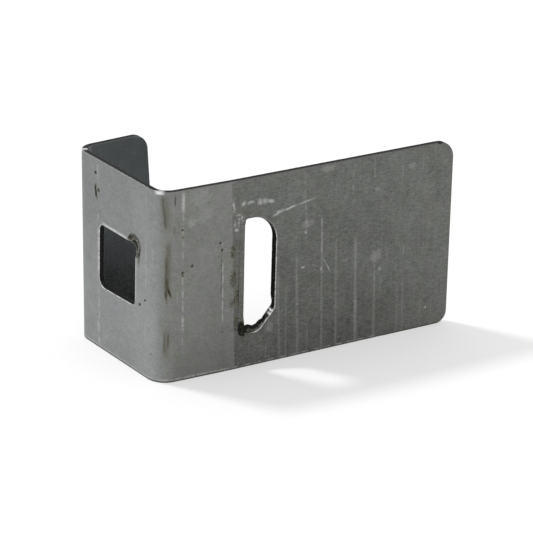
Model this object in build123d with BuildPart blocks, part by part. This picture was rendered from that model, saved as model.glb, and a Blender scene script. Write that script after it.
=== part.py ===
from build123d import *

import os
from math import cos, radians, sin, tan

# A stamped bracket folded from one strip of 1.5 mm steel sheet, standing on its cut edge. Seen from
# above it makes a J: a long flange with a D-shaped slot, a web with a square hole, and a short
# return flange that faces back along the long one. The origin is on the floor under the middle of
# the part. +X runs to the free end of the long flange, +Y from the long flange to the return.

# Driving dimensions, in millimetres and degrees
SHEET = 1.5                    # thickness of the sheet
STRIP = 50.0                   # width of the strip, which is the height of the part
FOLD_OUTSIDE = 5.0             # outside radius of both folds
END_RADIUS = 4.0               # rounded corners at the strip's two ends

LONG_FLANGE = 85.3             # outside corner of the front fold to the free end, halfway up
WEB = 39.1                     # outside corner to outside corner, halfway up
RETURN = 21.6                  # outside corner of the back fold to the free end, halfway up
WEB_OPENING = 3.0              # the web stands this far past square to the long flange
CREASE_FROM_CORNER = 20.5      # a faint crease across the long flange, beside the slot
CREASE = 1.8                   # how far the sheet turns at the crease
FOLD_LEAN = 1.8                # the back fold was struck this far out of square to the strip
RETURN_END_LEAN = 1.5          # the return's free end was cut this far out of square
LONG_END_LEAN = 0.4            # and the long flange's

SLOT_LEFT = 23.8               # from the outside corner of the front fold
SLOT_WIDTH = 9.1
SLOT_BOTTOM = 8.95             # above the strip's lower edge
SLOT_LENGTH = 30.65
SLOT_CUT_ACROSS = 4.7          # how much of the lower corner away from the fold is cut off
SLOT_CUT_UP = 5.5
SLOT_CUT_LESS = 0.5            # and how much less of it at the far rim, each way
SLOT_ROUND = 7.0               # rounding of the upper corner away from the fold
SLOT_ROUND_FAR = 6.0           # and at the far rim
SLOT_LEAN = 0.5                # the slot is this much tighter at its far rim, on two sides
SLOT_TEAR_LEAN = 1.45          # and this much at its torn lower end
SLOT_TIGHT = 0.6               # rounding of the two corners next to the fold
SLOT_BLEND = 3.0               # rounding where the cut corner meets the slot's lower end
SLOT_BEND = 1.0                # and where it meets the slot's side
SHOULDER_WIDTH = 1.6           # band pressed down along the slot's rim, next to the crease
SHOULDER_STEP = 0.12
SHOULDER_DEPTH = 0.3
SHOULDER_MARGIN = 1.2          # the band stops this far short of the slot's two ends

HOLE = 16.6                    # side of the square hole
HOLE_FROM_CORNER = 19.15       # its middle, along the web
HOLE_UP = 25.1                 # its middle, above the strip's lower edge
HOLE_TIGHT = 0.3               # rounding of its four corners
HOLE_TOP_FAR = 1.6
HOLE_LOW_FAR = 2.5
TEAR_RADIUS = 2.7              # torn fourth corner, sunk below the web's outer face
TEAR_DEPTH = 0.6
CURL_RADIUS = 1.5              # metal curled in at the slot's lower corner, beside the shoulder
CURL_DEPTH = 0.8
TAPER = 40.0                   # slope of the sides of both

# The back fold turns the sheet parallel to the long flange again
back_turn = 90 + WEB_OPENING
fold_setback = FOLD_OUTSIDE * tan(radians(back_turn / 2))
lean_at_edge = STRIP / 2 * tan(radians(FOLD_LEAN))
return_lean_at_edge = STRIP / 2 * tan(radians(RETURN_END_LEAN))
long_lean_at_edge = STRIP / 2 * tan(radians(LONG_END_LEAN))
long_lean_at_corner = (STRIP / 2 - END_RADIUS) * tan(radians(LONG_END_LEAN))

# The size of the footprint, and the corners of the sheet's outer line seen from above
along_web = Vector(-sin(radians(WEB_OPENING)), cos(radians(WEB_OPENING)))
into_web = Vector(cos(radians(WEB_OPENING)), sin(radians(WEB_OPENING)))
crease_rise = CREASE_FROM_CORNER * tan(radians(CREASE))
fold_bulge = FOLD_OUTSIDE * (1 - into_web.X)
web_swing = (WEB - fold_setback + lean_at_edge) * -along_web.X
footprint_x = LONG_FLANGE + long_lean_at_corner + web_swing + fold_bulge
footprint_y = crease_rise + WEB * along_web.Y + lean_at_edge

free_end = Vector(footprint_x / 2 - long_lean_at_corner, -footprint_y / 2)
crease = free_end - Vector(LONG_FLANGE - CREASE_FROM_CORNER, 0)
front_corner = crease + Vector(-CREASE_FROM_CORNER, crease_rise)

# Both ends of the strip lean in towards the top, the long flange's less
long_end = Plane(
    free_end + Vector(0, 0, STRIP / 2),
    x_dir=(0, 1, 0),
    z_dir=(cos(radians(LONG_END_LEAN)), 0, sin(radians(LONG_END_LEAN))),
)

# Faces that are drawn on: local x runs along the strip and local y up it
flange_face = Plane(free_end - Vector(LONG_FLANGE, 0), x_dir=(1, 0, 0), z_dir=(0, -1, 0))
web_face = Plane(front_corner, x_dir=along_web, z_dir=into_web)

# The back fold leans, so it starts at a slanting line across the web
fold_up = Vector(0, 0, cos(radians(FOLD_LEAN))) + along_web * sin(radians(FOLD_LEAN))
fold_start = web_face.from_local_coords((WEB - fold_setback, STRIP / 2))
fold_axis = Axis(fold_start + into_web * FOLD_OUTSIDE, fold_up)
fold_line = Plane(fold_start, x_dir=into_web, z_dir=into_web.cross(fold_up))

# The return flange starts where the fold ends, and its strip keeps the slant
return_out = (-into_web).rotate(fold_axis, -back_turn)
return_start = fold_axis.position + return_out * FOLD_OUTSIDE
square_to_fold = return_out.cross(fold_up)
along_return = square_to_fold * cos(radians(FOLD_LEAN)) + fold_up * sin(radians(FOLD_LEAN))
return_face = Plane(return_start, x_dir=along_return, z_dir=-return_out)


with BuildPart() as bracket:
    # Long flange, front fold and web: the sheet's outer line, thickened inwards
    with BuildSketch():
        with BuildLine():
            FilletPolyline(
                free_end + Vector(long_lean_at_edge, 0),
                crease,
                front_corner,
                front_corner + along_web * WEB,
                radius=(0, FOLD_OUTSIDE),
            )
            offset(amount=SHEET, side=Side.RIGHT, kind=Kind.INTERSECTION)
        make_face()
    extrude(amount=STRIP)
    split(bisect_by=long_end, keep=Keep.BOTTOM)
    end_corners = bracket.edges().filter_by(Axis.Y).sort_by(Axis.X)[-2:]
    fillet(end_corners, END_RADIUS)

    # Back fold: the web is cut off along the leaning fold line and its cut face swung round
    split(bisect_by=fold_line, keep=Keep.TOP)
    cut_face = bracket.faces().sort_by(Axis.Y)[-1]
    revolve(cut_face, axis=fold_axis, revolution_arc=-back_turn)

    # Return flange, with its free corners rounded
    with BuildSketch(return_face):
        with BuildLine():
            Polyline(
                (-lean_at_edge, -STRIP / 2),
                (RETURN - fold_setback + return_lean_at_edge, -STRIP / 2),
                (RETURN - fold_setback - return_lean_at_edge, STRIP / 2),
                (lean_at_edge, STRIP / 2),
                close=True,
            )
        make_face()
        fillet(vertices().sort_by(Axis.X)[-2:], END_RADIUS)
    extrude(amount=SHEET)

    # The leaning fold dips a hair below the strip's lower edge, which is ground level all round
    split(bisect_by=Plane.XY, keep=Keep.TOP)

    # Slot: struck by a worn punch, so it closes in towards the far rim, most at its lower end
    near_rim = (0, 0, 0, 0, SLOT_ROUND)
    far_rim = (SHEET, SLOT_LEAN, SLOT_TEAR_LEAN, SLOT_CUT_LESS, SLOT_ROUND_FAR)
    for depth, lean, tear_lean, cut_less, top_round in (near_rim, far_rim):
        right = SLOT_LEFT + SLOT_WIDTH - lean
        bottom = SLOT_BOTTOM + tear_lean
        top = SLOT_BOTTOM + SLOT_LENGTH - lean
        with BuildSketch(flange_face.offset(-depth)):
            with BuildLine():
                FilletPolyline(
                    (SLOT_LEFT, bottom),
                    (right - SLOT_CUT_ACROSS + cut_less, bottom),
                    (right, bottom + SLOT_CUT_UP - cut_less),
                    (right, top),
                    (SLOT_LEFT, top),
                    radius=(SLOT_TIGHT, SLOT_BLEND, SLOT_BEND, top_round, SLOT_TIGHT),
                    close=True,
                )
            make_face()
    loft(ruled=True, mode=Mode.SUBTRACT)

    # Shoulder: the band that the punch pressed down along the slot's rim, sloping into the slot
    with BuildSketch(Plane(flange_face.from_local_coords((SLOT_LEFT, SLOT_BOTTOM + SHOULDER_MARGIN)))):
        with BuildLine():
            Polyline(
                (-SHOULDER_WIDTH, -SHEET),
                (-SHOULDER_WIDTH, SHOULDER_STEP),
                (0, SHOULDER_DEPTH),
                (SHEET, SHOULDER_DEPTH),
                (SHEET, -SHEET),
                close=True,
            )
        make_face()
    extrude(amount=SLOT_LENGTH - 2 * SHOULDER_MARGIN, mode=Mode.SUBTRACT)

    # Square hole in the web, with its corners as unequal as the punch left them
    hole_near, hole_far = HOLE_FROM_CORNER - HOLE / 2, HOLE_FROM_CORNER + HOLE / 2
    hole_low, hole_high = HOLE_UP - HOLE / 2, HOLE_UP + HOLE / 2
    with BuildSketch(web_face):
        with BuildLine():
            FilletPolyline(
                (hole_near, hole_low),
                (hole_far, hole_low),
                (hole_far, hole_high),
                (hole_near, hole_high),
                radius=(HOLE_TIGHT, HOLE_LOW_FAR, HOLE_TOP_FAR, HOLE_TIGHT),
                close=True,
            )
        make_face()
    extrude(amount=SHEET, mode=Mode.SUBTRACT)

    # Torn metal: a shallow cone sunk round the hole's upper corner, and one in the slot's lower corner
    with BuildSketch(web_face):
        with Locations((hole_near + 0.5, hole_high - 0.4)):
            Circle(TEAR_RADIUS)
    extrude(amount=TEAR_DEPTH, taper=TAPER, mode=Mode.SUBTRACT)
    with BuildSketch(flange_face):
        with Locations((SLOT_LEFT + 0.2, SLOT_BOTTOM + 1.7)):
            Circle(CURL_RADIUS)
    extrude(amount=-CURL_DEPTH, taper=TAPER, mode=Mode.SUBTRACT)

bracket.part.label = "bracket"
os.makedirs("parts", exist_ok=True)
export_step(bracket.part, "parts/bracket.step")
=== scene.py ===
from math import cos, pi, radians, sin, tan

import bmesh
import bpy
import numpy as np
from mathutils import Matrix, Vector, geometry, kdtree, noise


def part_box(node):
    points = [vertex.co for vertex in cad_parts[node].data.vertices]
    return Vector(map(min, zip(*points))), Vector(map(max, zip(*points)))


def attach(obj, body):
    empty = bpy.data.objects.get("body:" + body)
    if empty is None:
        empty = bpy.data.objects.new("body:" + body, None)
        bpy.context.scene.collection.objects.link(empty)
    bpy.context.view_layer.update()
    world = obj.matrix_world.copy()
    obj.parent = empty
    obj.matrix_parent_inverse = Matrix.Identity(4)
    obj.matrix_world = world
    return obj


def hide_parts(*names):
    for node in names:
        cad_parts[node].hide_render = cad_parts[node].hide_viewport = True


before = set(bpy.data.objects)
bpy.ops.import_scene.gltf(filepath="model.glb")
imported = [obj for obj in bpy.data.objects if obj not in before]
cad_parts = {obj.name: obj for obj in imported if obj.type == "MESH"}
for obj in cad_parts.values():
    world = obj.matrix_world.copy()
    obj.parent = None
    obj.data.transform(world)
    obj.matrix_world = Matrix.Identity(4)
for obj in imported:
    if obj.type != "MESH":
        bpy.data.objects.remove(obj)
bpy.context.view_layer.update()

# ---- the folded strip, in millimetres and degrees, as the CAD model has it ----
# One strip of sheet: the long flange with the slot, the front fold, the web with the square hole,
# the back fold and the return flange. Their lengths count from the folds' outside corners.
SHEET, STRIP, FOLD, END_RADIUS = 1.5, 50.0, 5.0, 4.0
LONG_FLANGE, WEB, RETURN = 85.3, 39.1, 21.6
WEB_OPENING, CREASE_FROM_CORNER, CREASE = 3.0, 20.5, 1.8
FOLD_LEAN, RETURN_END_LEAN, LONG_END_LEAN = 1.8, 1.5, 0.4
SLOT_LEFT, SLOT_WIDTH, SLOT_BOTTOM, SLOT_LENGTH = 23.8, 9.1, 8.95, 30.65
SLOT_CUT_ACROSS, SLOT_CUT_UP, SLOT_CUT_LESS = 4.7, 5.5, 0.5
SLOT_LEAN, SLOT_TEAR_LEAN, SHOULDER = 0.5, 1.45, 1.6
SLOT_TIGHT, SLOT_BLEND, SLOT_BEND, SLOT_ROUND, SLOT_ROUND_FAR = 0.6, 3.0, 1.0, 7.0, 6.0
HOLE, HOLE_FROM_CORNER, HOLE_UP = 16.6, 19.15, 25.1
HOLE_LOW_NEAR, HOLE_TOP_FAR, HOLE_LOW_FAR, HOLE_TORN, HOLE_SKEW = 1.2, 1.6, 2.5, 3.2, 0.4
LOW_END_RADIUS, HIGH_END_RADIUS = 3.2, 4.6      # the long flange's two corners, as cut

# Plan of the outer face, worked out as the CAD model works it out. The directions into_web and
# into_near point from the outer face into the metal.
opening, crease, lean = radians(WEB_OPENING), radians(CREASE), radians(FOLD_LEAN)
front_turn = pi / 2 - opening - crease
back_turn = pi / 2 + opening
front_setback = FOLD * tan(front_turn / 2)
back_setback = FOLD * tan(back_turn / 2)
crease_rise = CREASE_FROM_CORNER * tan(crease)
lowest, highest = (corner * 1000 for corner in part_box("bracket"))
up = np.array((0.0, 0.0, 1.0))
along_web = np.array((-sin(opening), cos(opening), 0.0))
into_web = np.array((cos(opening), sin(opening), 0.0))
into_near = np.array((sin(crease), cos(crease), 0.0))
end_reach = (STRIP / 2 - END_RADIUS) * tan(radians(LONG_END_LEAN))
flange_corner = np.array((highest.x - end_reach - LONG_FLANGE, lowest.y, 0.0))
front_corner = flange_corner + np.array((0.0, crease_rise, 0.0))

# Distance along the strip: the long flange has its own distance from the corner, and the strip
# runs on through the folds to ever lower values
FRONT_START = CREASE_FROM_CORNER - (CREASE_FROM_CORNER / cos(crease) - front_setback)
FRONT_END = FRONT_START - FOLD * front_turn
BACK_START = FRONT_END - (WEB - front_setback - back_setback)
BACK_END = BACK_START - FOLD * back_turn
RETURN_TIP = BACK_END - (RETURN - back_setback)
RETURN_TIP_LEAN = STRIP / 2 * tan(radians(RETURN_END_LEAN))
LONG_TIP_LEAN = STRIP / 2 * tan(radians(LONG_END_LEAN))
WEB_ZERO = FRONT_END + front_setback          # a mark at w along the web lies at WEB_ZERO - w

fold_up = up * cos(lean) + along_web * sin(lean)
fold_start = front_corner + along_web * (WEB - back_setback) + up * STRIP / 2
fold_centre = fold_start + into_web * FOLD
near_tangent = flange_corner + np.array((CREASE_FROM_CORNER, 0, 0)) + np.array(
    (-cos(crease), sin(crease), 0)) * (CREASE_FROM_CORNER - FRONT_START)
front_centre = near_tangent + into_near * FOLD


def turned(vector, axis, angle):
    """The vector turned about an axis by an angle, for an array of angles."""
    angle = np.asarray(angle)[..., None]
    across = np.cross(axis, vector)
    along = axis * (axis @ vector)
    return vector * np.cos(angle) + across * np.sin(angle) + along * (1 - np.cos(angle))


return_out = turned(-into_web, fold_up, -back_turn)
square_to_fold = np.cross(return_out, fold_up)
along_return = square_to_fold * cos(lean) + fold_up * sin(lean)
up_return = fold_up * cos(lean) - square_to_fold * sin(lean)
return_start = fold_centre + return_out * FOLD

CREASE_SOFTNESS = 0.22        # the crease bends over a few times this distance


def to_space(s, z, depth):
    """Points of the sheet, from distance along the strip, height and depth below its outer face."""
    s, z, depth = np.broadcast_arrays(np.float64(s), np.float64(z), np.float64(depth))
    s, z, depth = s[..., None], z[..., None], depth[..., None]
    past_crease = np.maximum(CREASE_FROM_CORNER - s, 0)
    rise = CREASE_SOFTNESS * np.logaddexp(0, (CREASE_FROM_CORNER - s) / CREASE_SOFTNESS)
    flange = (flange_corner + np.array((1, 0, 0)) * (s + past_crease * (1 - cos(crease)))
              + np.array((0, 1, 0)) * (rise * tan(crease) * cos(crease) + depth) + up * z)
    front_angle = np.clip(FRONT_START - s, 0, FOLD * front_turn)[..., 0] / FOLD
    front_out = turned(-into_near, up, -front_angle)
    front = front_centre + front_out * (FOLD - depth) + up * z
    web = front_corner + along_web * (WEB_ZERO - s) + into_web * depth + up * z
    fold_line = BACK_START - (z - STRIP / 2) * tan(lean)
    back_angle = np.clip(fold_line - s, 0, FOLD * back_turn)[..., 0] / FOLD
    back_out = turned(-into_web, fold_up, -back_angle)
    back = fold_centre + back_out * (FOLD - depth) + fold_up * (z - STRIP / 2) / cos(lean)
    final = (return_start + along_return * (BACK_END - s) + up_return * (z - STRIP / 2)
             - return_out * depth)
    points = np.where(s > FRONT_START, flange, front)
    points = np.where(s < FRONT_END, web, points)
    points = np.where(s < fold_line, back, points)
    points = np.where(s < fold_line - FOLD * back_turn, final, points)
    return points


# ---- marks on the outer face, as (distance along, height) on the strip ----
# A line runs from one point to another. Then come its half width, how strong and how broken it is,
# and how far it wavers. A spot has a middle, two half widths and a strength.
LIGHT_LINES = (
    # die lines and fine scratches between the front fold and the crease
    ((6.3, 50.2), (6.42, 43.5), 0.55, 1.5, 0, 0.05), ((6.4, 45), (6.45, 31), 0.34, 0.8, 0.5, 0.05),
    ((6.45, 29.5), (6.7, 17), 0.34, 0.9, 0.4, 0.05),
    ((6.65, 18), (6.75, 12.5), 0.46, 1.3, 0.3, 0.05), ((6.7, 13), (6.85, 6), 0.25, 0.6, 0.4, 0.05),
    ((17.45, 36.5), (17.55, 30), 0.2, 0.5, 0.4, 0.05),
    ((17.6, 30.5), (17.85, 12.5), 0.24, 1.1, 0.3, 0.05),
    ((5.0, 24.5), (5.1, 20), 0.25, 0.35, 0, 0.1),
    # scuffs beside and above the slot
    ((19.9, 45.6), (20.7, 41.2), 0.4, 1.3, 0, 0.2),
    ((20.6, 41.1), (22.7, 40.9), 0.45, 1.3, 0.2, 0.2),
    ((22.6, 41.0), (22.9, 38.9), 0.4, 1.2, 0.2, 0.2),
    ((20.7, 40.0), (20.8, 37.9), 0.4, 1.2, 0.2, 0.2),
    ((21.4, 40.3), (22.5, 39.8), 0.35, 1.0, 0, 0.2),
    ((21.8, 39.5), (21.9, 37.9), 0.4, 1.1, 0.2, 0.2),
    ((20.5, 37.4), (21.9, 36.9), 0.5, 1.6, 0, 0.15), ((22.6, 43.3), (23.7, 44.2), 0.6, 1.6, 0, 0.2),
    ((24.0, 43.9), (26.4, 43.7), 0.45, 1.4, 0.3, 0.2),
    ((26.8, 43.5), (30.1, 43.3), 1.0, 1.5, 0.15, 0.15),
    ((29.6, 43.3), (32.1, 43.0), 0.6, 1.5, 0.1, 0.15),
    ((30.8, 38.9), (34.9, 40.0), 0.4, 1.1, 0.15, 0.1),
    ((32.4, 39.7), (34.8, 40.2), 0.45, 1.2, 0.2, 0.2),
    ((34.3, 39.9), (38.9, 40.8), 0.36, 1.7, 0, 0.08),
    ((38.2, 40.7), (44.2, 41.6), 0.24, 1.5, 0.15, 0.08),
    # marks on the flat of the long flange
    ((40.6, 48.5), (41.2, 36.5), 0.25, 0.3, 0.4, 0.05),
    ((41.4, 40.5), (41.5, 30), 0.25, 0.5, 0.4, 0.05),
    ((46.0, 37.5), (46.3, 25.5), 0.25, 0.5, 0.4, 0.05),
    ((46.3, 25.8), (49.6, 20.0), 0.2, 0.95, 0.2, 0.1),
    ((39.2, 23.4), (42.0, 24.2), 0.2, 0.8, 0.3, 0.2),
    ((42.0, 24.1), (46.0, 23.2), 0.18, 0.6, 0.3, 0.2),
    ((50.4, 23.3), (56.4, 23.4), 0.18, 0.6, 0.4, 0.2),
    ((61.1, 50), (61.4, 42), 0.25, 0.5, 0.3, 0.05), ((54.9, 49), (54.9, 39), 0.25, 0.35, 0.4, 0.05),
    ((69.6, 48), (69.9, 42), 0.25, 0.3, 0.3, 0.05), ((76, 49.5), (76, 42), 0.25, 0.3, 0.3, 0.05),
    ((71.0, 25), (71.1, 20.5), 0.2, 0.5, 0.3, 0.05),
    ((65.8, 24.5), (66.4, 19), 0.2, 0.35, 0.3, 0.05),
    # drawn streaks that fade upwards
    ((34.8, -3), (33.5, 24), 0.5, 0.3, 0, 0), ((36.6, -3), (36.0, 20), 0.4, 0.25, 0, 0),
    ((40.2, -3), (38.8, 28), 0.55, 0.36, 0, 0), ((42.9, -3), (42.6, 9), 0.35, 0.25, 0, 0),
    ((47.2, -3), (46.0, 37), 0.45, 0.32, 0, 0), ((51.5, -3), (50.4, 30), 0.45, 0.32, 0, 0),
    ((57.3, -3), (56.2, 30), 0.6, 0.4, 0, 0), ((57.7, -3), (57.1, 14), 0.5, 0.3, 0, 0),
    ((62.9, -3), (62.3, 24), 0.4, 0.36, 0, 0), ((69.9, -3), (69.6, 15), 0.4, 0.25, 0, 0),
    ((71.7, -3), (71.3, 15), 0.4, 0.25, 0, 0), ((77.2, -3), (77.0, 10), 0.3, 0.25, 0, 0),
    ((80.6, -3), (80.4, 8), 0.3, 0.2, 0, 0), ((30.8, -3), (30.5, 7), 0.3, 0.2, 0, 0),
    # the lower edge: a painted highlight along metal worn bright
    ((-37, 0.62), (0, 0.62), 0.3, 1.5, 0.1, 0), ((-1, 0.62), (21, 0.62), 0.3, 1.6, 0.25, 0),
    ((20, 0.55), (66, 0.55), 0.26, 1.2, 0.5, 0),
)
DARK_LINES = (
    # stains on the front fold, each an outline round a faint patch
    ((0.7, 50.2), (2.0, 39.6), 0.45, 0.24, 0, 0.15), ((1.5, 50.6), (2.3, 39.0), 1.7, 0.42, 0, 0.1),
    ((2.6, 38.2), (2.5, 21.5), 1.3, 0.5, 0, 0.1), ((2.05, 34.0), (2.0, 21.5), 0.45, 0.26, 0, 0.1),
    ((2.0, 24.4), (2.5, 19.8), 0.4, 0.5, 0, 0.05), ((2.2, 28.4), (2.8, 23.4), 0.4, 0.3, 0, 0),
    ((2.6, 25.2), (3.7, 22.0), 0.34, 0.75, 0, 0), ((1.9, 14.6), (1.8, 7.0), 0.4, 0.3, 0, 0.1),
    ((3.0, 14.2), (2.8, 8.4), 0.4, 0.28, 0, 0.1), ((2.5, 15.2), (2.4, 5.0), 1.3, 0.38, 0, 0.1),
    ((4.15, 49.6), (4.2, 45.6), 0.3, 0.85, 0, 0.05),
    ((5.1, 43.0), (5.4, 39.6), 0.25, 0.45, 0.2, 0.1),
    ((17.15, 33.5), (17.3, 19), 0.2, 0.9, 0.3, 0.05),
    # beside the slot, with painted shade along the shoulder's step and under the slot's lower rim,
    # and down the far end
    ((20.2, 49.6), (21.2, 25), 0.35, 0.25, 0.4, 0.2),
    ((22.15, 38), (22.2, 28), 0.26, 0.5, 0.3, 0.05),
    ((22.2, 29), (22.3, 11.5), 0.28, 0.95, 0, 0.05), ((22.4, 12.5), (22.9, 8.9), 0.5, 1.0, 0, 0.05),
    ((23.0, 8.6), (28.6, 8.55), 0.4, 0.7, 0, 0.1), ((33.35, 33), (33.5, 12), 0.3, 0.3, 0.4, 0.05),
    ((34.4, 34), (34.4, 10), 0.25, 0.22, 0.4, 0.05), ((84.7, 47), (84.9, 4), 0.4, 0.35, 0.2, 0.1),
    # painted shadow along the foot of the sheet, where it stands on the floor
    ((-39, 0.04), (84, 0.04), 0.36, 1.7, 0, 0),
)
LIGHT_SPOTS = (
    ((8.8, 41.3), (1.3, 1.2), 0.45), ((11, 47.2), (3.4, 2.8), 0.32),
    ((12.6, 43.0), (2.6, 2.4), 0.2), ((42.0, 35.2), (2.2, 1.2), 0.42),
    ((41.3, 33.0), (0.35, 0.4), 1.0), ((62.3, 40.8), (1.0, 0.9), 0.4),
    ((62.7, 22.7), (2.0, 1.9), 0.36), ((64.0, 18.8), (0.6, 0.5), 0.7),
    ((47.5, 48.7), (2.4, 0.9), 0.4), ((46.2, 22.3), (0.4, 0.6), 0.8),
    ((40.9, 23.6), (0.6, 0.35), 1.2), ((72.5, 45.3), (1.2, 0.9), 0.4),
    ((78.7, 5.4), (0.5, 0.35), 1.2), ((31.5, 9.5), (1.2, 1.8), 0.4),
)
DARK_SPOTS = (
    ((9.0, 30.0), (0.45, 0.5), 1.1), ((16.75, 34.6), (0.4, 0.5), 1.1),
    ((4.0, 39.8), (0.5, 1.1), 0.45), ((17.3, 32.7), (0.45, 0.5), 1.1),
    ((6.4, 28.6), (0.6, 0.5), 1.0), ((6.35, 39.8), (0.6, 0.35), 0.9),
    ((6.4, 37.8), (0.4, 0.3), 0.7), ((6.4, 27.9), (0.35, 0.3), 0.9),
    ((17.8, 10.9), (0.7, 0.7), 0.45), ((24.5, 41.4), (4.0, 1.0), 0.5),
    ((20.4, 31.5), (0.9, 2.6), 0.75), ((20.7, 24.5), (1.3, 3.0), 0.8),
    ((21.6, 19.5), (0.8, 2.6), 0.7), ((20.5, 18.0), (1.1, 2.0), 0.6),
    # the second spot below is painted shade in the pit where the metal curls in at the slot's lower
    # corner
    ((21.5, 12.5), (0.8, 2.6), 0.8), ((23.5, 10.5), (1.8, 2.3), 2.0),
    ((56.0, 13.0), (0.35, 0.4), 0.9), ((59.6, 13.5), (0.4, 0.35), 0.9),
    ((40.9, 6.3), (0.5, 0.4), 1.0), ((47.2, 28.9), (0.35, 0.3), 0.9),
    ((63.4, 12.5), (0.5, 0.6), 0.6), ((52.0, 19.0), (0.5, 0.4), 0.5),
    ((78.5, 33.5), (2.0, 3.4), 0.2), ((80.9, 50.1), (0.9, 0.7), 2.0),
    ((68.5, 8.0), (1.2, 1.6), 0.3), ((62.0, 20.6), (1.0, 0.4), 0.5),
    ((48.0, 33.5), (0.5, 0.6), 0.3), ((80.5, 18.5), (0.4, 0.3), 0.6),
)
# Painted highlights: white glints on metal burnished where the folds and the slot were knocked
GLINT_LINES = (
    ((-1.2, 49.6), (1.6, 49.7), 0.6, 1.0, 0, 0),
)
GLINT_SPOTS = (
    ((-35.2, 50.0), (1.0, 0.5), 0.8), ((32.15, 13.8), (0.32, 0.4), 1.2),
    ((31.6, 12.9), (0.3, 0.3), 1.2),
)
# The same on the web, where the distance counts from the outside corner of the front fold
WEB_LIGHT_LINES = (
    ((28.5, 49.6), (28.3, 44.0), 0.45, 0.7, 0, 0.05),
    ((28.1, 37.0), (28.0, 33.0), 0.4, 0.7, 0.3, 0.05),
    ((28.2, 33.0), (28.0, 17.0), 0.36, 0.7, 0.4, 0.05),
    ((27.6, 16.5), (27.2, 0.5), 0.45, 0.9, 0.4, 0.1),
    ((6.3, 49.5), (6.2, 42.5), 0.36, 0.5, 0.3, 0.05),
    ((6.1, 36.5), (5.9, 21.5), 0.36, 0.65, 0.3, 0.05),
    ((6.0, 15.0), (5.9, 8.5), 0.36, 0.6, 0.3, 0.05), ((6.0, 5.0), (6.0, 2.6), 0.3, 0.5, 0.3, 0.05),
    ((3.3, 36.5), (3.3, 29.0), 0.36, 0.4, 0.3, 0.05),
    # the hole's rim: a painted highlight along its burnished edge
    ((27.0, 33.85), (13.7, 33.8), 0.55, 2.2, 0, 0.03),
    ((10.45, 31.5), (10.5, 17.6), 0.5, 1.4, 0.1, 0.03),
    ((27.85, 33.0), (27.8, 19.0), 0.5, 1.1, 0.1, 0.03),
)
WEB_DARK_LINES = (
    ((29.25, 43.8), (29.15, 39.4), 0.6, 1.5, 0.1, 0.2),
    ((28.8, 41.9), (28.5, 38.6), 0.4, 0.7, 0.3, 0.2),
    ((6.5, 20.2), (5.4, 20.8), 0.24, 0.6, 0, 0.15), ((8.9, 33.8), (9.3, 27.6), 0.7, 0.65, 0, 0.1),
)
WEB_LIGHT_SPOTS = (
    ((27.7, 6.3), (0.5, 1.0), 1.0), ((27.2, 1.8), (0.6, 0.9), 1.0),
)
WEB_DARK_SPOTS = (
    ((29.4, 46.3), (0.6, 0.5), 1.3), ((28.0, 42.0), (0.7, 0.7), 1.0),
    ((27.9, 8.9), (0.4, 0.35), 0.5), ((21.2, 6.4), (0.4, 0.4), 0.5),
    ((3.5, 7.0), (0.45, 0.5), 0.45), ((27.5, 36.5), (0.9, 0.3), 0.4),
    ((8.5, 18.5), (0.6, 0.42), 1.3), ((6.2, 20.3), (0.5, 0.4), 0.7),
    ((11.4, 33.0), (2.3, 2.4), 0.6),
)
TEAR_CENTRE = (WEB_ZERO - 11.4, 33.0)         # middle of the hole's torn corner


def on_web(marks, ends):
    """Marks of the web, moved to the strip. A line has two ends, and a spot has one middle."""
    return tuple((*((WEB_ZERO - w, z) for w, z in mark[:ends]), *mark[ends:]) for mark in marks)


LIGHT_LINES += on_web(WEB_LIGHT_LINES, 2)
DARK_LINES += on_web(WEB_DARK_LINES, 2)
LIGHT_SPOTS += on_web(WEB_LIGHT_SPOTS, 1)
DARK_SPOTS += on_web(WEB_DARK_SPOTS, 1)
MARKS = ((LIGHT_LINES, LIGHT_SPOTS), (DARK_LINES, DARK_SPOTS), (GLINT_LINES, GLINT_SPOTS))
MARK_STEP = 0.4               # spacing of the mesh along a mark


def ease(value, low, high):
    """0 below low and 1 above high, with a soft change between."""
    share = np.clip((value - low) / (high - low), 0, 1)
    return share * share * (3 - 2 * share)


def waver(along, seed):
    """An uneven swing between -1 and 1 along a line."""
    return (0.5 * np.sin(1.1 * along + seed) + 0.3 * np.sin(2.9 * along + 2 * seed)
            + 0.2 * np.sin(7.3 * along + 3 * seed))


def direction(start, end):
    """Length of a line, its direction and the direction across it."""
    way = np.array(end) - start
    length = np.hypot(*way)
    return length, way / length, np.array((-way[1], way[0])) / length


def line_strength(points, start, end, width, strength, gaps, wave):
    """How strongly one line shows at points of the strip."""
    length, way, side = direction(start, end)
    along, across = (points - start) @ way, (points - start) @ side
    seed = start[0] + 3 * start[1]
    soft = min(2.5, 0.35 * length)            # it fades in and out over this distance
    across = np.abs(across - wave * waver(along, seed))
    mask = strength * ease(across, width, 0.15 * width) * ease(along, -0.15, soft)
    mask *= ease(along, length + 0.15, length - soft)
    if gaps:
        mask *= ease(0.5 + 0.5 * waver(1.7 * along, seed + 1), gaps - 0.15, gaps + 0.15)
    return mask


def spot_strength(points, centre, size, strength):
    """How strongly one spot, with its uneven outline, shows at points of the strip."""
    away = np.hypot(*((points - centre) / size).T)
    s, z = points.T
    away += 0.22 * np.sin(2.7 * s + 1.3 * np.sin(3.1 * z + centre[0])) * np.sin(2.9 * z + centre[1])
    return strength * ease(away, 1.15, 0.4)


def marked(points, lines, spots):
    """How strongly the marks of one kind show at points of the strip."""
    return sum(line_strength(points, *line) for line in lines) + sum(
        spot_strength(points, *spot) for spot in spots)


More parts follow.
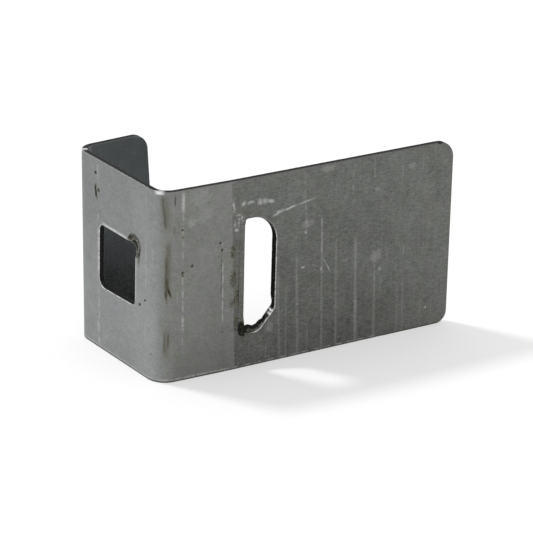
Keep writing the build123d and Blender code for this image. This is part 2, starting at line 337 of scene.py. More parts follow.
def along_marks(lines, spots):
    """Points that follow the marks closely enough to carry them."""
    rows = []
    for start, end, width, _, _, wave in lines:
        length, way, side = direction(start, end)
        along = np.linspace(-0.2, length + 0.2, int(length / MARK_STEP) + 3)
        swing = wave * waver(along, start[0] + 3 * start[1])
        rows += [start + along[:, None] * way + (swing + off * width)[:, None] * side
                 for off in (-1.05, -0.35, 0.35, 1.05)]
    for centre, size, _ in spots:
        for share in (0, 0.35, 0.65, 0.95, 1.25):
            count = 1 + int(2 * pi * share * max(size) / MARK_STEP)
            angles = np.linspace(0, 2 * pi, max(count, 6), endpoint=False)
            rows.append(np.stack((np.cos(angles), np.sin(angles)), -1) * size * share + centre)
    return np.concatenate(rows)


# ---- outlines of the sheet and of what is cut in it, as (distance along, height) ----
END_STEP, OPENING_STEP = 0.6, 0.33      # spacing of the points round the sheet and its openings


def between(first, second):
    """Angle between two directions."""
    return np.arccos(np.clip(first @ second / (np.hypot(*first) * np.hypot(*second)), -1, 1))


def outline(corners, radii, step=None, counts=None):
    """Even points round a polygon with rounded corners, and how many each corner and straight got.
    The counts of one outline, given to another of the same kind, pair their points up."""
    corners = [np.array(corner, float) for corner in corners]
    arcs = []
    for index, corner in enumerate(corners):
        before, after = corners[index - 1] - corner, corners[(index + 1) % len(corners)] - corner
        before, after = before / np.hypot(*before), after / np.hypot(*after)
        half = between(before, after) / 2
        middle = (before + after) / np.hypot(*(before + after))
        centre = corner + middle * radii[index] / sin(half)
        first = corner + before * radii[index] / tan(half) - centre
        turn = (pi - 2 * half) * np.sign(before[1] * after[0] - before[0] * after[1])
        number = counts[index][0] if counts else max(4, int(radii[index] * abs(turn) / step) + 2)
        angles = np.linspace(0, turn, number)
        arcs.append(centre + np.stack((first[0] * np.cos(angles) - first[1] * np.sin(angles),
                                       first[0] * np.sin(angles) + first[1] * np.cos(angles)), -1))
    points, made = [], []
    for index, arc in enumerate(arcs):
        start, end = arc[-1], arcs[(index + 1) % len(arcs)][0]
        number = counts[index][1] if counts else max(2, int(np.hypot(*(end - start)) / step))
        points += [arc, start + (end - start) * np.linspace(0, 1, number + 1)[1:-1, None]]
        made.append((len(arc), number))
    return np.concatenate(points), made


def left_of(loop):
    """Unit directions to the left of a closed loop: inwards, when it runs anticlockwise."""
    along = np.roll(loop, -1, 0) - np.roll(loop, 1, 0)
    along /= np.hypot(along[:, 0], along[:, 1])[:, None]
    return np.stack((-along[:, 1], along[:, 0]), -1)


def rough(points, size, seed):
    """Smooth seeded noise at points of the strip, from -1 to 1."""
    return np.array([noise.noise(Vector((s / size, z / size, seed))) for s, z in points])


perimeter, _ = outline(
    ((RETURN_TIP - RETURN_TIP_LEAN, 0), (LONG_FLANGE + LONG_TIP_LEAN, 0),
     (LONG_FLANGE - LONG_TIP_LEAN, STRIP), (RETURN_TIP + RETURN_TIP_LEAN, STRIP)),
    (END_RADIUS, LOW_END_RADIUS, HIGH_END_RADIUS, END_RADIUS), step=END_STEP)


def slot_corners(shift, torn_shift, cut_less):
    """Corners of the slot, moved in on two sides and at its torn lower end."""
    right, bottom = SLOT_LEFT + SLOT_WIDTH - shift, SLOT_BOTTOM + torn_shift
    top = SLOT_BOTTOM + SLOT_LENGTH - shift
    return ((SLOT_LEFT, bottom), (right - SLOT_CUT_ACROSS + cut_less, bottom),
            (right, bottom + SLOT_CUT_UP - cut_less), (right, top), (SLOT_LEFT, top))


slot_front, slot_counts = outline(
    slot_corners(0, 0, 0),
    (SLOT_TIGHT, SLOT_BLEND, SLOT_BEND, SLOT_ROUND, SLOT_TIGHT), step=OPENING_STEP)
slot_back, _ = outline(
    slot_corners(SLOT_LEAN, SLOT_TEAR_LEAN, SLOT_CUT_LESS),
    (SLOT_TIGHT, SLOT_BLEND, SLOT_BEND, SLOT_ROUND_FAR, SLOT_TIGHT), counts=slot_counts)

hole_low, hole_high = HOLE_UP - HOLE / 2, HOLE_UP + HOLE / 2
hole_far, hole_near = (WEB_ZERO - HOLE_FROM_CORNER + side * HOLE / 2 for side in (-1, 1))
square_hole, _ = outline(
    ((hole_far, hole_low), (hole_near, hole_low + HOLE_SKEW),
     (hole_near, hole_high), (hole_far, hole_high)),
    (HOLE_LOW_FAR, HOLE_LOW_NEAR, HOLE_TORN, HOLE_TOP_FAR), step=OPENING_STEP)

# Section through a cut rim from the outer face to the inner one: how far the surface stands back
# from the cut, how deep it is, how polished the rim is there (painted as a white highlight), and
# how much of it is cut face
RIM = (
    (0.3, 0.0, 0.0, 0.0), (0.16, 0.005, 0.3, 0.0), (0.07, 0.03, 1.0, 0.0), (0.02, 0.07, 1.0, 0.1),
    (0.0, 0.13, 0.4, 0.8), (0.0, 0.25, 0.0, 1.0), (0.0, 0.5, 0.0, 1.0), (0.0, 0.8, 0.0, 1.0),
    (0.0, 1.1, 0.0, 1.0), (0.0, 1.4, 0.0, 1.0), (0.02, 1.47, 0.2, 0.6), (0.08, 1.5, 0.0, 0.0),
)
# Depths at which a cut wall starts to be torn, is fully torn and ends, and how big its bites are
TEARING, TORN, TORN_END = 0.2, 0.7, 1.4
COARSE_BITE, FINE_BITE = 1.1, 0.4

# The shoulder: the heights where it starts and stops, its depth at its outer side, and how much
# deeper it gets towards the slot
SHOULDER_START, SHOULDER_STOP, SHOULDER_STEP, SHOULDER_SLOPE = (9.8, 10.6), (38.0, 38.6), 0.12, 0.18
# The metal curled in at the slot's lower corner: its middle, its two half widths and its depth
CURL_CENTRE, CURL_SIZE, CURL_DEPTH = (23.6, 11.0), (1.0, 1.9), 0.7
# The rings round the hole's torn corner: how deep each is, and the radii between which it ends
TEAR_RINGS = ((0.42, 2.2, 2.85), (-0.12, 1.45, 2.2), (0.4, 1.1, 1.45))


def pressed(s, z):
    """How far the outer face is pressed in, in millimetres."""
    shoulder = ease(s, SLOT_LEFT - SHOULDER, SLOT_LEFT - SHOULDER + 0.2) * (s < SLOT_LEFT + 1)
    shoulder *= ease(z, *SHOULDER_START) * (1 - ease(z, *SHOULDER_STOP))
    towards_slot = np.clip((s - SLOT_LEFT) / SHOULDER + 1, 0, 1)
    band = shoulder * (SHOULDER_STEP + SHOULDER_SLOPE * towards_slot)
    from_curl = np.hypot((s - CURL_CENTRE[0]) / CURL_SIZE[0], (z - CURL_CENTRE[1]) / CURL_SIZE[1])
    curl = CURL_DEPTH * (1 - ease(from_curl, 0.35, 1.0))
    away = np.hypot(s - TEAR_CENTRE[0], z - TEAR_CENTRE[1])
    tear = sum(deep * (1 - ease(away, inner, outer)) for deep, inner, outer in TEAR_RINGS)
    return np.maximum(band, curl) + tear


# What a face belongs to, which is also the number of its material
OUTSIDE, INSIDE, CUT = 0, 1, 2
CLEAR_OF_RIM = 0.3            # no extra point of a side comes closer to its outlines
SAME_PLACE = 1e-5             # points no further apart are one point
NO_AREA = 2e-5                # a triangle with no more than half of this, in mm2, is dropped


def clear_of(points, others, gap):
    """The points that keep this distance from all the others."""
    tree = kdtree.KDTree(len(others))
    for index, (s, z) in enumerate(others):
        tree.insert((s, z, 0), index)
    tree.balance()
    return np.array([p for p in points if tree.find((*p, 0))[2] > gap])


class Sheet:
    """The folded sheet's mesh, gathered in strip coordinates."""

    def __init__(self):
        self.points, self.edges, self.faces, self.kinds = [], [], [], []

    def add(self, points, edges):
        """Adds points, each with how polished (painted as a highlight) and how much of a cut face
        it is.
        """
        first = len(self.points)
        self.points.extend(points)
        self.edges.extend(edges)
        return np.arange(first, first + len(points))

    def rim(self, front, back, material_side, ragged, seed, shine, bowed=0.0, torn=0.0):
        """Rings through the sheet round one outline. Returns the outermost and innermost. The whole
        rim is moved by bowed, and the torn part of its wall by torn as well."""
        into = left_of(front) * material_side
        bites = 0.8 + rough(front, COARSE_BITE, seed) + 0.8 * rough(front, FINE_BITE, seed + 5)
        wear = ragged * bites
        rings = []
        for back_off, depth, polish, cut in RIM:
            share = depth / SHEET
            # the torn part of the wall is rough, and its rolled and its inner edge less so
            tearing = ease(depth, TEARING, TORN)
            loose = wear * tearing * (1 if depth < TORN_END else 0.7)
            flat = front + (back - front) * share + into * (back_off + loose)[:, None]
            flat += bowed + torn * tearing
            sunk = depth + pressed(flat[:, 0], flat[:, 1]) * (1 - share)
            edges = np.column_stack((polish * shine, np.full((len(flat), 2), (cut, 0))))
            rings.append(self.add(np.column_stack((flat, sunk)), edges))
        for first, second in zip(rings, rings[1:]):
            for index in range(len(first)):
                after = (index + 1) % len(first)
                self.faces.append((first[index], first[after], second[after], second[index]))
                self.kinds.append(CUT)
        return rings[0], rings[-1]

    def side(self, loops, depth, spare, kind):
        """One side of the sheet, meshed between its outlines."""
        flat = [np.array([self.points[i][:2] for i in loop]) for loop in loops]
        spare = clear_of(spare[inside(spare, flat)], np.concatenate(flat), CLEAR_OF_RIM)
        sunk = depth + (pressed(spare[:, 0], spare[:, 1]) if kind == OUTSIDE else 0)
        added = self.add(np.column_stack((spare, np.broadcast_to(sunk, len(spare)))),
                         np.zeros((len(spare), 3)))
        known = np.concatenate([*loops, added])
        edges, first = [], 0
        for loop in loops:
            edges += [(first + i, first + (i + 1) % len(loop)) for i in range(len(loop))]
            first += len(loop)
        flat_all = [Vector(self.points[i][:2]) for i in known]
        corners, _, triangles, from_corner, _, _ = geometry.delaunay_2d_cdt(
            flat_all, edges, [], 0, SAME_PLACE)
        spots = np.array([[corners[i][:] for i in triangle] for triangle in triangles])
        (s1, z1), (s2, z2) = (spots[:, 1] - spots[:, 0]).T, (spots[:, 2] - spots[:, 0]).T
        # triangles without area lie along a straight outline, just outside it
        solid = np.abs(s1 * z2 - s2 * z1) > NO_AREA
        for keep, triangle in zip(solid & inside(spots.mean(1), flat), triangles):
            if keep:
                self.faces.append(tuple(known[from_corner[i][0]] for i in triangle))
                self.kinds.append(kind)


def inside(points, loops):
    """Whether points lie inside an odd number of the loops."""
    odd = np.zeros(len(points), bool)
    for loop in loops:
        for (s1, z1), (s2, z2) in zip(loop, np.roll(loop, -1, 0)):
            if z1 != z2:
                crosses = (points[:, 1] > z1) != (points[:, 1] > z2)
                odd ^= crosses & (points[:, 0] < s1 + (points[:, 1] - z1) / (z2 - z1) * (s2 - s1))
    return odd


def grid(s_values, z_values):
    """Every pair of a distance along the strip and a height."""
    return np.stack(np.meshgrid(s_values, z_values), -1).reshape(-1, 2)


def around(opening):
    """Extra points round an opening, so that the mesh is fine there and grows coarser."""
    return np.concatenate([(opening - left_of(opening) * off)[::step]
                           for off, step in ((0.8, 1), (1.25, 2))])


GRID, FOLD_GRID = 0.8, 0.32             # spacing of the mesh, and of its lines along the folds
FINE_GAP, CLEAR_OF_FINE = 0.11, 0.35    # least distance between fine points, and from the grid
strip_stops = np.concatenate((
    np.arange(RETURN_TIP, BACK_END - 0.9, GRID),
    np.arange(BACK_END - 0.8, BACK_START + 0.8, FOLD_GRID),
    np.arange(BACK_START + 1, FRONT_END, GRID),
    np.arange(FRONT_END, FRONT_START, FOLD_GRID),
    np.arange(FRONT_START + 0.2, LONG_FLANGE, GRID)))
coarse = grid(strip_stops, np.arange(GRID, STRIP, GRID))
shoulder_grid = grid(np.arange(SLOT_LEFT - SHOULDER - 0.3, SLOT_LEFT - 0.5, 0.13),
                     np.arange(8, 40, 0.4))
turns = np.linspace(0, 2 * pi, 48, endpoint=False)
round_tear = np.stack((np.cos(turns), np.sin(turns)), -1)
tear_rings = np.concatenate([TEAR_CENTRE + r * round_tear for r in np.arange(0.4, 3.2, 0.2)])


def thinned(points, gap):
    """The points, without any that crowds an earlier one."""
    kept, cells = [], {}
    for p in points:
        cell = (int(p[0] // gap), int(p[1] // gap))
        near = [q for i in (-1, 0, 1) for j in (-1, 0, 1)
                for q in cells.get((cell[0] + i, cell[1] + j), ())]
        if all((p[0] - q[0]) ** 2 + (p[1] - q[1]) ** 2 > gap * gap for q in near):
            kept.append(p)
            cells.setdefault(cell, []).append(p)
    return np.array(kept)


# How polished the sheet's own rim is, painted as a white highlight: much along the bottom of the
# long flange, a little along the top, and that much more on the web and the return
BOTTOM_POLISH_HIGHLIGHT, TOP_POLISH_HIGHLIGHT, WEB_POLISH_HIGHLIGHT = 0.5, 0.1, 0.2
POLISH_HIGHLIGHT_FROM, POLISH_HIGHLIGHT_TO = 18, 66
rim_s, at_bottom = perimeter[:, 0], perimeter[:, 1] < 1
edge_polish = np.where(at_bottom, BOTTOM_POLISH_HIGHLIGHT * (rim_s > POLISH_HIGHLIGHT_FROM), TOP_POLISH_HIGHLIGHT)
edge_polish = (edge_polish * (rim_s < POLISH_HIGHLIGHT_TO)
               + np.where(at_bottom, 0, WEB_POLISH_HIGHLIGHT) * (rim_s < FRONT_END))

# The slot's side next to the fold is bowed in, most at its torn corner. Its lower wall is torn up
# into the slot next to the fold, and away from it in the cut corner. Each ease() says where along
# the strip, or at which heights, an effect starts or stops.
slot_s, slot_z = slot_front.T
slot_low = 1 - ease(slot_z, 12, 16)
slot_bow = 0.12 + 0.12 * (1 - ease(slot_z, 12, 36)) + 0.3 * (1 - ease(slot_z, 11.2, 14))
bowed = np.outer((1 - ease(slot_s, 24.2, 25.4)) * slot_bow, (1, 0))
torn_by_fold = (1 - ease(slot_s, 26.2, 27.6)) * (1 - ease(slot_z, 9.5, 12))
torn_in_cut = ease(slot_s, 28.8, 30) * (1 - ease(slot_z, 15, 17))
torn = np.outer(torn_by_fold, (0, 0.45)) + np.outer(torn_in_cut, (0.32, -0.27))
# how polished the slot's and the hole's rims are, painted as white highlights
slot_polish = ease(slot_s, 25.5, 28) * (0.75 + 0.1 * slot_low) * (1 - 0.6 * ease(slot_z, 34, 37))
hole_polish = ease(np.hypot(*(square_hole - TEAR_CENTRE).T), 2.4, 3.2)
# how ragged the cut walls are, in millimetres, and how much more the slot's is low down
EDGE_RAGGED, SLOT_RAGGED, SLOT_LOW_RAGGED, HOLE_RAGGED = 0.03, 0.06, 0.16, 0.025

sheet = Sheet()
rims = [
    sheet.rim(perimeter, perimeter, 1, EDGE_RAGGED, 3.0, edge_polish),
    sheet.rim(slot_front, slot_back, -1, SLOT_RAGGED + SLOT_LOW_RAGGED * slot_low, 7.0,
              slot_polish, bowed, torn),
    sheet.rim(square_hole, square_hole, -1, HOLE_RAGGED, 11.0, hole_polish),
]
fine = thinned(np.concatenate((
    tear_rings, shoulder_grid, around(slot_front), around(square_hole),
    *(along_marks(lines, spots) for lines, spots in MARKS))), FINE_GAP)
open_grid = clear_of(coarse, fine, CLEAR_OF_FINE)
sheet.side([front for front, _ in rims], 0.0, np.concatenate((fine, open_grid)), OUTSIDE)
sheet.side([back for _, back in rims], SHEET, coarse, INSIDE)

strip_points = np.array(sheet.points)
space = to_space(*strip_points.T)
# the leaning fold dips a hair below the ground, so its lowest millimetres are squeezed up to it
SQUEEZED = 3
dip = to_space(strip_points[:, 0], 0, strip_points[:, 2])[:, 2]
space[:, 2] += np.maximum(-dip, 0) * np.clip(1 - strip_points[:, 1] / SQUEEZED, 0, 1)
space = np.clip(space, lowest, highest) / 1000
mesh = bpy.data.meshes.new("bracket")
mesh.from_pydata(space.tolist(), [], [tuple(int(i) for i in face) for face in sheet.faces])
mesh.polygons.foreach_set("material_index", sheet.kinds)
# the materials read these: the place on the strip, polish (painted as a highlight) and cut face,
# and the light, dark and glint marks, painted light and shade among them
shows = np.stack([marked(strip_points[:, :2], lines, spots) for lines, spots in MARKS], -1)
for name, values in (("strip", strip_points), ("edge", np.array(sheet.edges)), ("marks", shows)):
    attribute = mesh.attributes.new(name, "FLOAT_VECTOR", "POINT")
    attribute.data.foreach_set("vector", values.astype(np.float32).ravel())
shaped = bmesh.new()
shaped.from_mesh(mesh)
bmesh.ops.recalc_face_normals(shaped, faces=shaped.faces)
shaped.to_mesh(mesh)
shaped.free()
mesh.shade_smooth()
bracket = bpy.data.objects.new("folded_sheet", mesh)
bpy.context.scene.collection.objects.link(bracket)


# ---- materials: procedural, in strip coordinates ----
class Finish:
    """A material whose nodes are built up as expressions."""

    def __init__(self, name):
        self.material = bpy.data.materials.new(name)
        self.material.use_nodes = True
        self.nodes, self.links = self.material.node_tree.nodes, self.material.node_tree.links
        self.shader = self.nodes["Principled BSDF"]
        self.shader.inputs["Metallic"].default_value = 1.0
        self.strip = self.attribute("strip")
        self.s, self.z, self.depth = self.parts(self.strip)
        self.polish, self.cut, _ = self.parts(self.attribute("edge"))
        self.light, self.dark, self.glint = self.parts(self.attribute("marks"))

    def add(self, kind, *values, **settings):
        """A new node with these settings, its inputs fed in their order."""
        node = self.nodes.new(kind)
        for name, value in settings.items():
            setattr(node, name, value)
        for socket, value in zip(node.inputs, values):
            self.feed(socket, value)
        return node

    def feed(self, socket, value):
        """Links a node's output to the socket, or sets the socket to a plain value."""
        if isinstance(value, bpy.types.NodeSocket):
            self.links.new(value, socket)
        elif value is not None:
            socket.default_value = value

    def attribute(self, name):
        return self.add("ShaderNodeAttribute", attribute_name=name).outputs["Vector"]

    def parts(self, vector):
        return self.add("ShaderNodeSeparateXYZ", vector).outputs

    def maths(self, operation, *values):
        return self.add("ShaderNodeMath", *values, operation=operation).outputs[0]

    def vector(self, operation, *values, output="Vector"):
        return self.add("ShaderNodeVectorMath", *values, operation=operation).outputs[output]

    def times(self, *values):
        result = values[0]
        for value in values[1:]:
            result = self.maths("MULTIPLY", result, value)
        return result

    def total(self, values):
        result = values[0]
        for value in values[1:]:
            result = self.maths("ADD", result, value)
        return result

    def around(self, value, size):
        """A noise value, moved to swing that far to each side of zero."""
        return self.maths("MULTIPLY_ADD", value, 2 * size, -size)

    def span(self, value, low, high, to_low=0.0, to_high=1.0):
        """A soft change from to_low at low to to_high at high."""
        return self.add("ShaderNodeMapRange", value, low, high, to_low, to_high,
                        interpolation_type="SMOOTHSTEP").outputs[0]

    def noise(self, stretch, scale, detail, roughness, offset=(0, 0, 0)):
        """Noise from 0 to 1 in strip coordinates."""
        place = self.vector("MULTIPLY_ADD", self.strip, stretch, offset)
        return self.add("ShaderNodeTexNoise", place, None, scale, detail, roughness).outputs[0]

    def arc(self, centre, radius, width):
        """How close each point is to a circle."""
        place = self.vector("SUBTRACT", self.strip, (*centre, 0))
        place = self.vector("MULTIPLY", place, (1, 1, 0))
        away = self.maths("SUBTRACT", self.vector("LENGTH", place, output="Value"), radius)
        return self.span(self.maths("ABSOLUTE", away), width, 0.2 * width)

    def mix(self, share, first, second):
        """From the first colour to the second."""
        node = self.add("ShaderNodeMix", data_type="RGBA", clamp_factor=True)
        # a mix node has the same inputs once for each type of value, and the colours are 6 and 7
        for number, value in ((0, share), (6, first), (7, second)):
            self.feed(node.inputs[number], value)
        return node.outputs[2]

    def scaled(self, colour, share):
        return self.add("ShaderNodeVectorMath", colour, None, None, share,
                        operation="SCALE").outputs[0]

    def finished(self, colour, roughness, height, strength, distance):
        """The material with this colour and roughness, and bumps too fine for the mesh."""
        self.feed(self.shader.inputs["Base Color"], colour)
        self.feed(self.shader.inputs["Roughness"], roughness)
        bump = self.add("ShaderNodeBump", strength, distance)
        self.feed(bump.inputs["Height"], height)
        self.feed(self.shader.inputs["Normal"], bump.outputs[0])
        return self.material


# Reflected colours, painted as lit and shaded copies of one steel: the lit web, the shaded long
# flange before the crease and beyond it, their stains, and the inner face, painted darker as shade
LIT_STEEL, SHADED_STEEL = (0.28, 0.290, 0.291, 1), (0.26, 0.266, 0.258, 1)
FAR_SHADED_STEEL, OLIVE_STEEL = (0.256, 0.264, 0.251, 1), (0.254, 0.262, 0.232, 1)
# the inner face's steel is painted darker than the outer, as shade
SHADED_INNER_STEEL = (0.195, 0.208, 0.211)
# the marks: scratches and painted highlights, dirt and painted shade with a brownish border, and
# painted white glints
SCUFF_AND_HIGHLIGHT, DIRT_AND_SHADE = (0.66, 0.67, 0.66, 1), (0.022, 0.022, 0.017, 1)
MUD_AND_SHADE_STEEL, GLINT_WHITE = (0.18, 0.176, 0.135, 1), (0.95, 0.95, 0.95, 1)
# and the cut faces
CUT_DARK, CUT_PALE = (0.008, 0.008, 0.008, 1), (0.06, 0.06, 0.055, 1)
CUT_BROWN = (0.13, 0.125, 0.105, 1)
# How strong the fine bumps are, and how high in metres
STEEL_BUMP, CUT_BUMP = (0.35, 0.00005), (0.6, 0.0001)


def steel_outside():
    """The outer face, with all its marks and its painted light and shade."""
    f = Finish("steel_outside")
    grain = f.noise((0.5, 2.6, 1), 1.0, detail=4, roughness=0.75)
    speck = f.noise((1.3, 1.5, 1), 1.5, detail=3, roughness=0.8, offset=(7, 3, 1))
    blotch = f.noise((1, 1, 1), 0.5, detail=3, roughness=0.65, offset=(2, 5, 9))
    cloud = f.noise((1, 1, 1), 0.13, detail=3, roughness=0.6, offset=(3, 9, 2))
    upright = f.noise((1.4, 0.06, 1), 1.0, detail=3, roughness=0.6, offset=(5, 1, 4))
    stain = f.noise((1, 0.6, 1), 0.45, detail=4, roughness=0.65, offset=(13, 2, 8))
    # painted light and shade: palest on the web, where the light falls on it, duller towards the
    # crease, darkest on the long flange beyond the crease, which leans a little on the strip; the
    # darkening beyond it is partly dirt and partly painted shade
    past_fold = f.span(f.s, -1.0, 3.0)
    painted_shade_to_crease = f.span(f.s, 2.0, 20.0)
    crease_line = f.maths("MULTIPLY_ADD", f.z, 0.038, f.s)
    beyond = f.span(crease_line, 21.35, 21.7)
    # painted shade: the floor's shadow reflected, darker in the middle and low down on the far
    # flange
    middle = f.times(f.span(f.z, 42.0, 32.0), beyond, f.span(f.s, 76.0, 62.0))
    low = f.times(f.span(f.z, 24.0, 2.0), middle)
    # painted light: lighter low on the web and on the web next to the front fold
    painted_light_web_low = f.times(f.span(f.z, 38.0, 14.0), f.span(f.s, 2.0, -2.0))
    painted_light_by_fold = f.times(f.span(f.s, 2.5, -1.5), f.span(f.s, -13.0, -6.0))
    tone = f.total([
        1.0,
        f.times(painted_light_web_low, 0.15), f.times(painted_light_by_fold, 0.1), f.times(past_fold, -0.01),
        f.times(painted_shade_to_crease, -0.06), f.times(beyond, -0.225), f.times(middle, -0.06),
        f.times(low, -0.06),
        f.around(grain, 0.2), f.times(f.around(grain, 0.22), beyond), f.around(speck, 0.46),
        f.around(blotch, 0.14), f.around(cloud, 0.14), f.times(f.around(upright, 0.12), beyond)])
    torn = f.noise((1, 1, 1), 0.8, detail=3, roughness=0.6, offset=(6, 6, 6))
    patchy = f.noise((1.6, 1.6, 1), 1.5, detail=3, roughness=0.75, offset=(1, 8, 3))
    light = f.times(f.light, f.span(patchy, 0.35, 0.62, 0.45, 1.2))
    # dark marks are uneven away from the fold, and round the torn corner lie a ring of painted
    # shade, in its groove, and a dark middle
    uneven = f.maths("ADD", f.span(patchy, 0.36, 0.64, 1.35, 0.45), -1.0)
    uneven = f.times(uneven, f.span(f.s, 10.0, 17.0))
    dark = f.total([f.times(f.dark, f.maths("ADD", uneven, 1.0)),
                    f.times(f.arc(TEAR_CENTRE, 2.5, 0.95), f.span(torn, 0.3, 0.6, 1.2, 0.7)),
                    f.times(f.arc(TEAR_CENTRE, 0.7, 1.0), 1.2)])
    colour = f.mix(past_fold, LIT_STEEL, SHADED_STEEL)
    colour = f.mix(beyond, colour, FAR_SHADED_STEEL)
    olive = f.times(f.span(stain, 0.42, 0.68), f.span(past_fold, 0.0, 1.0, 0.15, 1.0))
    colour = f.scaled(f.mix(olive, colour, OLIVE_STEEL), tone)
    colour = f.mix(f.times(light, 0.46), colour, SCUFF_AND_HIGHLIGHT)
    colour = f.mix(f.times(dark, 1.3), colour, MUD_AND_SHADE_STEEL)
    colour = f.mix(f.maths("MULTIPLY_ADD", dark, 1.1, -0.35), colour, DIRT_AND_SHADE)
    # painted highlights: the white glints
    colour = f.mix(f.glint, colour, GLINT_WHITE)
    return f.finished(colour, f.maths("MULTIPLY_ADD", speck, 0.16, 0.4),
                      f.total([f.times(grain, 0.5), f.times(speck, 0.5)]), *STEEL_BUMP)


def steel_inside():
    """The inner face, plain but for its grain and its painted shade."""
    f = Finish("steel_inside")
    speck = f.noise((1.2, 1.5, 1), 1.4, detail=3, roughness=0.8)
    grain = f.noise((0.4, 2.6, 1), 1.0, detail=4, roughness=0.75, offset=(2, 4, 6))
    cloud = f.noise((1, 1, 1), 0.15, detail=3, roughness=0.6)
    upright = f.noise((1.2, 0.05, 1), 1.0, detail=3, roughness=0.6, offset=(5, 1, 4))
    # painted shade: darker low down, most on the return; and dark along the return's free end
    low = f.times(f.span(f.z, 34.0, 4.0), f.span(f.s, -26.0, -38.0, -0.15, -0.82))
    free_end = f.times(f.span(f.s, RETURN_TIP + 0.9, RETURN_TIP + 0.3), -0.5)
    tone = f.total([1.0, f.around(speck, 0.42), f.around(grain, 0.12), f.around(cloud, 0.2),
                    f.around(upright, 0.1), low, free_end])
    return f.finished(f.scaled(SHADED_INNER_STEEL, tone), f.maths("MULTIPLY_ADD", speck, 0.16, 0.36),
                      f.total([f.times(grain, 0.5), f.times(speck, 0.5)]), *STEEL_BUMP)


def cut_edge():
    """The walls of every cut, from the rolled rim through the torn face."""
    f = Finish("cut_edge")
    torn = f.noise((1.5, 1.5, 2.5), 1.6, detail=4, roughness=0.75)
    streaks = f.noise((2.6, 2.6, 0.3), 1.4, detail=3, roughness=0.7, offset=(4, 4, 4))
    tone = f.total([1.0, f.around(torn, 0.3), f.around(streaks, 0.35)])
    raw = f.mix(f.span(torn, 0.35, 0.8), CUT_DARK, CUT_PALE)
    # the walls of the square hole are paler than the rest
    in_hole = f.times(f.span(f.s, -3.0, -6.0), f.span(f.z, 40.0, 38.0), f.span(f.z, 8.0, 10.0))
    raw = f.mix(f.times(in_hole, 0.4), raw, CUT_PALE)
    # the slot's lower wall is burred brown-grey in its middle depth
    burred = f.times(f.span(f.z, 15.5, 12.5), f.span(f.s, 20.0, 22.0), f.span(f.s, 36.0, 34.0),
                     f.span(f.depth, 0.15, 0.35), f.span(f.depth, 0.85, 0.55),
                     f.span(torn, 0.38, 0.55))
    raw = f.scaled(f.mix(f.times(burred, f.span(f.z, 2.0, 4.0)), raw, CUT_BROWN), tone)
    # the rolled rim takes the faces' lit and shaded steel, with painted shade beyond the crease
    rolled = f.scaled(f.mix(f.span(f.s, -4.0, 4.0), LIT_STEEL, SHADED_STEEL),
                      f.span(f.s, 20.0, 22.0, 0.9, 0.62))
    rolled = f.mix(f.times(f.light, 0.42), rolled, SCUFF_AND_HIGHLIGHT)
    colour = f.mix(f.times(f.dark, 0.8), f.mix(f.cut, rolled, raw), DIRT_AND_SHADE)
    # painted highlights: white where the rim is polished, and the glints
    bright = f.times(f.polish, f.span(torn, 0.4, 0.55))
    colour = f.mix(f.total([bright, f.glint]), colour, GLINT_WHITE)
    return f.finished(colour, f.span(f.cut, 0.0, 1.0, 0.34, 0.55), torn, *CUT_BUMP)


# in the order of OUTSIDE, INSIDE and CUT
for make in (steel_outside, steel_inside, cut_edge):
    mesh.materials.append(make())
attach(bracket, "root")
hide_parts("bracket")

# ---- floor, light and camera ----
FLOOR_REACH, FLOOR_Z = 4, -2e-5         # in metres, a hair below the bracket
FLOOR_GREY = 0.66
CAMERA_GLOW, STEEL_GLOW = 0.4, 0.25     # the paper's own light for the camera and in reflections
WORLD_LIGHT, KEY_LIGHT, KEY_SOFTNESS, KEY_FROM = 0.69, 1.17, 0.15, (-0.29, 0.47, 0.83)
LENS, OFF_CENTRE = 198.17, 0.3 / 533    # 0.3 pixels off centre in a picture of 533 pixels
CAMERA_FROM_CORNER = (-327.301, -565.935, 299.299)      # in millimetres
CAMERA_RIGHT = (0.850892, -0.524679, 0.026358)
CAMERA_UP = (0.177783, 0.334804, 0.925365)
CAMERA_AHEAD = (0.494344, 0.782699, -0.378161)

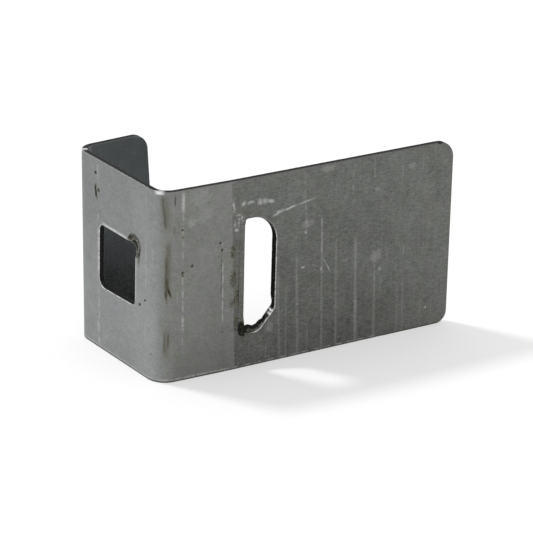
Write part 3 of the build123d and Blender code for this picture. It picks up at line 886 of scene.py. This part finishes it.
floor_mesh = bpy.data.meshes.new("floor")
floor_mesh.from_pydata([(x * FLOOR_REACH, y * FLOOR_REACH, FLOOR_Z)
                        for x, y in ((-1, -1), (1, -1), (1, 1), (-1, 1))], [], [(0, 1, 2, 3)])
floor = bpy.data.objects.new("floor", floor_mesh)
bpy.context.scene.collection.objects.link(floor)
paper = bpy.data.materials.new("paper")
paper.use_nodes = True
nodes, links = paper.node_tree.nodes, paper.node_tree.links
nodes.clear()
diffuse, glow, both = (nodes.new("ShaderNode" + kind)
                       for kind in ("BsdfDiffuse", "Emission", "AddShader"))
diffuse.inputs["Color"].default_value = (FLOOR_GREY, FLOOR_GREY, FLOOR_GREY, 1)
rays = nodes.new("ShaderNodeLightPath")
seen, shown = nodes.new("ShaderNodeMath"), nodes.new("ShaderNodeMath")
seen.operation, shown.operation = "MULTIPLY_ADD", "MULTIPLY"
links.new(rays.outputs["Is Glossy Ray"], shown.inputs[0])
shown.inputs[1].default_value = STEEL_GLOW
links.new(rays.outputs["Is Camera Ray"], seen.inputs[0])
seen.inputs[1].default_value = CAMERA_GLOW
links.new(shown.outputs[0], seen.inputs[2])
links.new(seen.outputs[0], glow.inputs["Strength"])
links.new(diffuse.outputs[0], both.inputs[0])
links.new(glow.outputs[0], both.inputs[1])
links.new(both.outputs[0], nodes.new("ShaderNodeOutputMaterial").inputs["Surface"])
floor_mesh.materials.append(paper)

world = bpy.data.worlds.new("studio")
bpy.context.scene.world = world
world.use_nodes = True
background = world.node_tree.nodes["Background"]
background.inputs["Color"].default_value = (1, 1, 1, 1)
background.inputs["Strength"].default_value = WORLD_LIGHT

key_data = bpy.data.lights.new("key", "SUN")
key_data.energy = KEY_LIGHT
key_data.angle = KEY_SOFTNESS
key = bpy.data.objects.new("key", key_data)
key.rotation_mode = "QUATERNION"
key.rotation_quaternion = Vector(KEY_FROM).to_track_quat("Z", "Y")
bpy.context.scene.collection.objects.link(key)

camera_data = bpy.data.cameras.new("camera")
camera_data.sensor_width = 36
camera_data.lens = LENS
camera_data.clip_start, camera_data.clip_end = 0.01, 20
camera_data.shift_y = OFF_CENTRE
camera = bpy.data.objects.new("camera", camera_data)
stand = (np.array(CAMERA_FROM_CORNER) + flange_corner) / 1000
columns = (CAMERA_RIGHT, CAMERA_UP, -np.array(CAMERA_AHEAD), stand)
camera.matrix_world = Matrix([*zip(*columns), (0, 0, 0, 1)])
bpy.context.scene.collection.objects.link(camera)
bpy.context.scene.camera = camera
bpy.context.scene.view_settings.view_transform = "Standard"

bpy.context.view_layer.update()
